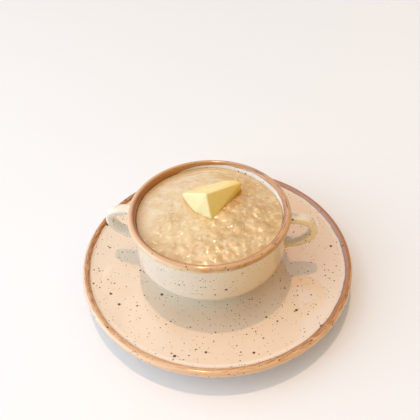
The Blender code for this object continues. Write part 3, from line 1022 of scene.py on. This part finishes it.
def porridge_mesh(look):
    """The filling as one closed body: a fine uneven top over the form of the bowl's inside."""
    rings, segments = PORRIDGE_RINGS, PORRIDGE_SEGMENTS
    angles = np.arange(segments) * math.tau / segments

    def ring(radius, *level):
        return np.column_stack((radius * np.cos(angles), radius * np.sin(angles),
                                *(np.full(segments, value) for value in level)))

    radii = np.linspace(0.0, BOWL_WALL_INNER - GAP, rings + 1)[1:]
    top = np.vstack([ring(radius) for radius in radii] + [(0.0, 0.0)])
    height, *marks = [sampled(field, *top.T) for field in porridge_surface(look.flakes, look.seed)]
    below = bowl_inside(GAP, 8)[:-1]
    points = np.vstack([np.column_stack((top, height))] + [ring(*place) for place in below[:-1]]
                       + [(0.0, 0.0, below[-1][1])]) + (*BOWL_AT, 0.0)
    top_pole, bottom_pole = rings * segments, len(points) - 1
    starts = [index * segments for index in range(rings)]
    starts += [top_pole + 1 + index * segments for index in range(len(below) - 1)]
    faces = []
    for index in range(segments):
        after = (index + 1) % segments
        faces.append((top_pole, index, after))
        faces.append((starts[-1] + index, bottom_pole, starts[-1] + after))
        for inner, outer in zip(starts, starts[1:]):
            faces.append((inner + index, outer + index, outer + after, inner + after))
    mesh = bpy.data.meshes.new("porridge_oats")
    mesh.from_pydata((points * MM).tolist(), [], faces)
    for name, values in zip(MARKS, marks):
        filled = np.zeros(len(points), np.float32)
        filled[:len(values)] = values
        mesh.attributes.new(name, "FLOAT", "POINT").data.foreach_set("value", filled)
    return mesh


# Loose oats


def oat_flake(name, half, seed, finish):
    """One rolled oat: a thin oval flake, crimped along its middle and ragged at its edge."""
    body = bmesh.new()
    bmesh.ops.create_uvsphere(body, u_segments=14, v_segments=6, radius=1.0)
    for point in body.verts:
        x, y, z = point.co
        ragged = 1 + 0.16 * noise.noise(Vector((x * 1.7, y * 1.7, seed * 3.1)))
        crimp = -0.32 * math.exp(-(y / 0.22) ** 2) * (1 if z > 0 else -0.4)
        wave = 0.5 * noise.noise(Vector((x * 1.1, y * 1.1, seed * 7.7)))
        level = z * (1 - 0.25 * x ** 2) + crimp * abs(z) + wave
        point.co = Vector((x * half[0] * ragged, y * half[1] * ragged, level * half[2])) * MM
    return object_of(name, body, finish, 180.0)


def strewing_nodes():
    """Strews flakes over a surface, lying almost flat in it, more where it is rough."""
    tree, given = node_group("Strew oats", {
        "Flakes": "Collection", "Density": "Float", "Sink": "Float", "Seed": "Int", "Finish": "Material"})
    seed = given["Seed"]

    def draw(inputs, kind="FLOAT"):
        drawn = put(tree, "FunctionNodeRandomValue", inputs, data_type=kind).outputs
        return drawn[0 if kind == "FLOAT_VECTOR" else 1]

    smooth, bare = (Value(geometry(tree, "InputNamedAttribute", {"Name": name}, data_type="FLOAT"))
                    for name in ("film", "bare"))
    points = put(tree, "GeometryNodeDistributePointsOnFaces", {
        "Mesh": given["Geometry"], "Density Max": given["Density"], "Seed": seed,
        "Distance Min": OAT_SPACING * MM, "Density Factor": (1.0 - smooth) * (1.0 - bare),
    }, distribute_method="POISSON").outputs
    turns = {0: (-OAT_TILT, -OAT_TILT, 0.0), 1: (OAT_TILT, OAT_TILT, math.tau), "Seed": seed}
    facing = put(tree, "FunctionNodeRotateRotation", {
        "Rotation": points["Rotation"], "Rotate By": draw(turns, "FLOAT_VECTOR"),
    }, rotation_space="LOCAL").outputs[0]
    pick = geometry(tree, "CollectionInfo", {
        "Collection": given["Flakes"], "Separate Children": True, "Reset Children": True})
    laid = geometry(tree, "InstanceOnPoints", {
        "Points": points["Points"], "Instance": pick, "Pick Instance": True,
        "Rotation": facing, "Scale": draw({2: OAT_SCALE[0], 3: OAT_SCALE[1], "Seed": seed}),
    })
    down = put(tree, "ShaderNodeCombineXYZ", {"Z": given["Sink"]}).outputs[0]
    sunk = geometry(tree, "TranslateInstances", {
        "Instances": laid, "Translation": down, "Local Space": True})
    tone = draw({2: 0.0, 3: 1.0, "Seed": 7})
    toned = geometry(tree, "StoreNamedAttribute", {"Geometry": sunk, "Name": "tone", "Value": tone},
                     data_type="FLOAT", domain="INSTANCE")
    return finished_group(tree, toned, given["Finish"])


def loose_oat_material(look):
    made, tree, shader = new_material("loose_oats")
    where = millimetres(tree)
    feed(shader, {
        "Base Color": layered(look.oat, (attribute(tree, "tone"), look.dark_oat),
                              (noise_at(where, 2.0) * 0.5, look.film)),
        "Roughness": 0.32, "Normal": bump(noise_at(where, 0.8), 0.0002, 0.6),
        "Subsurface Weight": 0.4, "Subsurface Radius": (1.0, 0.62, 0.32), "Subsurface Scale": 0.0018,
    })
    return made


# Butter


def butter_hull():
    """The wedge between its corners, with nothing rounded."""
    body = bmesh.new()
    corners = list(BUTTER_TOP.values()) + [(x, y, BUTTER_BASE) for x, y in BUTTER_FOOT]
    for x, y, z in corners:
        body.verts.new(((x + BOWL_AT[0]) * MM, (y + BOWL_AT[1]) * MM, z * MM))
    hull = bmesh.ops.convex_hull(body, input=body.verts)
    inside = [thing for thing in hull["geom_interior"] if isinstance(thing, bmesh.types.BMVert)]
    bmesh.ops.delete(body, geom=inside, context="VERTS")
    bmesh.ops.dissolve_limit(body, angle_limit=math.radians(1.0), verts=body.verts, edges=body.edges)
    bmesh.ops.recalc_face_normals(body, faces=body.faces)
    return body


def butter_material(look):
    made, tree, shader = new_material("butter")
    where = millimetres(tree, BOWL_AT)
    turn = math.radians(BUTTER_SMEAR_TURN)
    off = vector_calc("SUBTRACT", where, (*BUTTER_SMEAR_AT, 0.0))
    along, away = (abs(vector_calc("DOT_PRODUCT", off, axis)) for axis in (
        (math.cos(turn), math.sin(turn), 0.0), (-math.sin(turn), math.cos(turn), 0.0)))
    smeared = (noise_at(where, 3.0, 3.0) * 5.0 + away).step(4.2, 2.7) * along.step(12.0, 8.0)
    facing_right = facing_parts(tree)[0]
    base = layered(
        look.face,
        (noise_at(where, 9.0, 3.0).step(0.35, 0.8) * 0.2, look.smear),
        (smeared * 0.8, look.smear),
        # Deeper yellow towards the wedge's right end.
        (parts_of(where)[0].step(4.0, 24.0) * 0.9, look.smear),
        # Painted shade on the faces that face right.
        (facing_right.step(0.25, 0.6) * 0.6, look.painted_shade_yellow),
        # Painted light on the faces that face left.
        (facing_right.step(-0.1, -0.5) * 0.6, look.pale),
    )
    smooth = noise_at(where, 1.2, 3.0) * 0.25 + noise_at(where, 5.0)
    feed(shader, {
        "Base Color": base, "Roughness": noise_at(where, 4.0) * 0.25 + 0.28,
        "Normal": bump(smooth, 0.0004, 0.5),
        "Subsurface Weight": 0.35, "Subsurface Radius": (1.0, 0.75, 0.25), "Subsurface Scale": 0.003,
    })
    return made


# Operators


class PORRIDGE_OT_saucer(bpy.types.Operator):
    """Turn the saucer with its brown edge"""

    bl_idname = "porridge.saucer"
    bl_label = "Saucer"

    def execute(self, context):
        ware = context.scene.porridge_ware
        glaze = saucer_material(ware)
        piece = object_of("stoneware_saucer", turned(saucer_profile(), ware.segments, glaze), glaze)
        settle(piece, "saucer")
        return {"FINISHED"}


class PORRIDGE_OT_bowl(bpy.types.Operator):
    """Turn the bowl and pull its two handles"""

    bl_idname = "porridge.bowl"
    bl_label = "Bowl"

    def execute(self, context):
        ware = context.scene.porridge_ware
        glaze = bowl_material(ware)
        body = turned(bowl_profile(), ware.segments, glaze)
        for side in (-1, 1):
            add_handle(body, side)
        bmesh.ops.translate(body, verts=body.verts, vec=(BOWL_AT[0] * MM, BOWL_AT[1] * MM, 0.0))
        piece = object_of("stoneware_bowl", body, glaze)
        settle(piece, "bowl")
        return {"FINISHED"}


class PORRIDGE_OT_filling(bpy.types.Operator):
    """Fill the bowl with lumpy porridge"""

    bl_idname = "porridge.filling"
    bl_label = "Porridge"

    def execute(self, context):
        look = context.scene.porridge_oats
        mesh = porridge_mesh(look)
        mesh.materials.append(porridge_material(look))
        mesh.shade_smooth()
        settle(link("cooked_porridge", mesh), "porridge")
        return {"FINISHED"}


class PORRIDGE_OT_oats(bpy.types.Operator):
    """Strew loose oat flakes over the porridge"""

    bl_idname = "porridge.oats"
    bl_label = "Loose oats"

    def execute(self, context):
        look = context.scene.porridge_oats
        finish = loose_oat_material(look)
        kinds = bpy.data.collections.new("oat_kinds")
        for index, half in enumerate(OAT_SHAPES):
            kinds.objects.link(oat_flake(f"oat_kind_{index}", half, index, finish))
        ground = link("ground", bpy.data.objects["cooked_porridge"].data.copy())
        places = np.array([point.co for point in ground.data.vertices]) / MM - (*BOWL_AT, 0.0)
        x, y, z = places.T
        bare = (z < OAT_LOWEST) | (np.hypot(x, y) > OAT_FIELD) | (foot_distance(x, y) < OAT_CLEARANCE)
        mark = ground.data.attributes.new("bare", "FLOAT", "POINT")
        mark.data.foreach_set("value", bare.astype(np.float32))
        mesh = run_group(ground, strewing_nodes(), {
            "Flakes": kinds, "Density": OAT_TRIES * look.loose / (math.pi * (BOWL_WALL_INNER * MM) ** 2),
            "Sink": -OAT_SINK * MM, "Seed": look.seed, "Finish": finish,
        })
        for flake in list(kinds.objects):
            bpy.data.objects.remove(flake, do_unlink=True)
        bpy.data.collections.remove(kinds)
        if not mesh.polygons:
            raise RuntimeError("no oats were strewn")
        mesh.shade_smooth()
        settle(link("loose_oats", mesh), None)
        return {"FINISHED"}


class PORRIDGE_OT_butter(bpy.types.Operator):
    """Cut the wedge of butter"""

    bl_idname = "porridge.butter"
    bl_label = "Butter"

    def execute(self, context):
        look = context.scene.porridge_butter
        finish = butter_material(look)
        block = object_of("butter_block", butter_hull(), finish)
        rounding = block.modifiers.new("edges", "BEVEL")
        rounding.width = look.edge
        rounding.segments = 3
        rounding.limit_method = "ANGLE"
        rounding.angle_limit = math.radians(20)
        even = block.modifiers.new("even", "REMESH")
        even.mode = "VOXEL"
        even.voxel_size = BUTTER_GRAIN * MM
        body = bmesh_of(evaluated_mesh(block))
        for _ in range(3):
            bmesh.ops.smooth_vert(body, verts=body.verts, factor=0.5,
                                  use_axis_x=True, use_axis_y=True, use_axis_z=True)
        body.normal_update()
        for point in body.verts:
            place = point.co / MM
            wobble = 0.16 * noise.noise(place / 6.0) + 0.05 * noise.noise(place / 1.8)
            point.co += point.normal * wobble * MM
        piece = object_of("butter_wedge", body, finish, 180.0)
        settle(piece, "butter")
        return {"FINISHED"}


class PORRIDGE_OT_stage(bpy.types.Operator):
    """Set the table, the light and the photograph's camera"""

    bl_idname = "porridge.stage"
    bl_label = "Stage"

    def execute(self, context):
        stage, scene = context.scene.porridge_stage, context.scene
        body = bmesh.new()
        bmesh.ops.create_circle(body, cap_ends=True, segments=96, radius=TABLE_RADIUS)
        finish, tree, shader = new_material("pale_table")
        shade = [0.985 * part for part in stage.table]
        cloud = noise_at(millimetres(tree), 160.0, 3.0)
        feed(shader, {"Base Color": layered(shade, (cloud, stage.table)), "Roughness": 0.55})
        object_of("table", body, finish)

        at, aim = Vector(CAMERA_AT) * MM, Vector(CAMERA_AIM) * MM
        lens = bpy.data.cameras.new("camera")
        lens.lens = lens.sensor_width = 36
        lens.clip_start = 0.01
        turn = (aim - at).to_track_quat("-Z", "Y").to_matrix().to_4x4()
        roll = Matrix.Rotation(math.radians(CAMERA_ROLL), 4, "Z")
        scene.camera = link("camera", lens)
        scene.camera.matrix_world = Matrix.Translation(at) @ turn @ roll

        sun = self.light("sun", "SUN", SUN_DIRECTION, stage.sun, stage.sun_tint)
        sun.angle = math.radians(SUN_SPREAD)
        window = self.light("window", "AREA", WINDOW_AT, stage.window, stage.window_tint)
        window.shape = "RECTANGLE"
        window.size, window.size_y = WINDOW_SIZE

        world = scene.world = bpy.data.worlds.new("room")
        world.use_nodes = True
        nodes = world.node_tree
        towards = put(nodes, "ShaderNodeTexCoord").outputs["Generated"]
        air = (0.0, 0.0, 0.0)
        for direction, narrowness, tint in ROOM_LIGHT:
            side = tuple(Vector(direction).normalized())
            lobe = vector_calc("DOT_PRODUCT", towards, side).at_least(0.0)
            air = vector_calc("ADD", air, scaled(tint, lobe.calc("POWER", lobe, narrowness), nodes))
        feed(nodes.nodes["Background"], {"Color": air, "Strength": stage.room})
        scene.view_settings.view_transform = "Standard"
        return {"FINISHED"}

    def light(self, name, kind, towards, strength, tint):
        """A light on that side of the dish, aimed at the bowl."""
        data = bpy.data.lights.new(name, kind)
        data.energy, data.color = strength, tint
        made = link(name, data)
        made.location = towards
        made.rotation_euler = Vector(towards).to_track_quat("Z", "Y").to_euler()
        return data


class PORRIDGE_PT_builder(bpy.types.Panel):
    """Buttons and settings in the sidebar"""

    bl_idname = "PORRIDGE_PT_builder"
    bl_label = "Porridge bowl"
    bl_space_type = "VIEW_3D"
    bl_region_type = "UI"
    bl_category = "Porridge"

    def draw(self, context):
        for group, title in GROUPS.items():
            box = self.layout.box()
            box.label(text=title)
            settings = getattr(context.scene, group)
            for name in settings.__annotations__:
                box.prop(settings, name)
        for operator in OPERATORS:
            self.layout.operator(operator.bl_idname)


GROUPS = {
    "porridge_ware": "Stoneware",
    "porridge_oats": "Porridge",
    "porridge_butter": "Butter",
    "porridge_stage": "Stage",
}
SETTINGS = (WareSettings, PorridgeSettings, ButterSettings, StageSettings)
OPERATORS = (
    PORRIDGE_OT_stage, PORRIDGE_OT_saucer, PORRIDGE_OT_bowl, PORRIDGE_OT_filling,
    PORRIDGE_OT_oats, PORRIDGE_OT_butter,
)


def register():
    for kind in SETTINGS + OPERATORS + (PORRIDGE_PT_builder,):
        bpy.utils.register_class(kind)
    for group, kind in zip(GROUPS, SETTINGS):
        setattr(bpy.types.Scene, group, bpy.props.PointerProperty(type=kind))


def unregister():
    for group in GROUPS:
        delattr(bpy.types.Scene, group)
    for kind in reversed(SETTINGS + OPERATORS + (PORRIDGE_PT_builder,)):
        bpy.utils.unregister_class(kind)


def main():
    register()
    bpy.ops.porridge.stage()
    bpy.ops.porridge.saucer()
    bpy.ops.porridge.bowl()
    bpy.ops.porridge.filling()
    bpy.ops.porridge.oats()
    bpy.ops.porridge.butter()


if __name__ == "__main__":
    main()
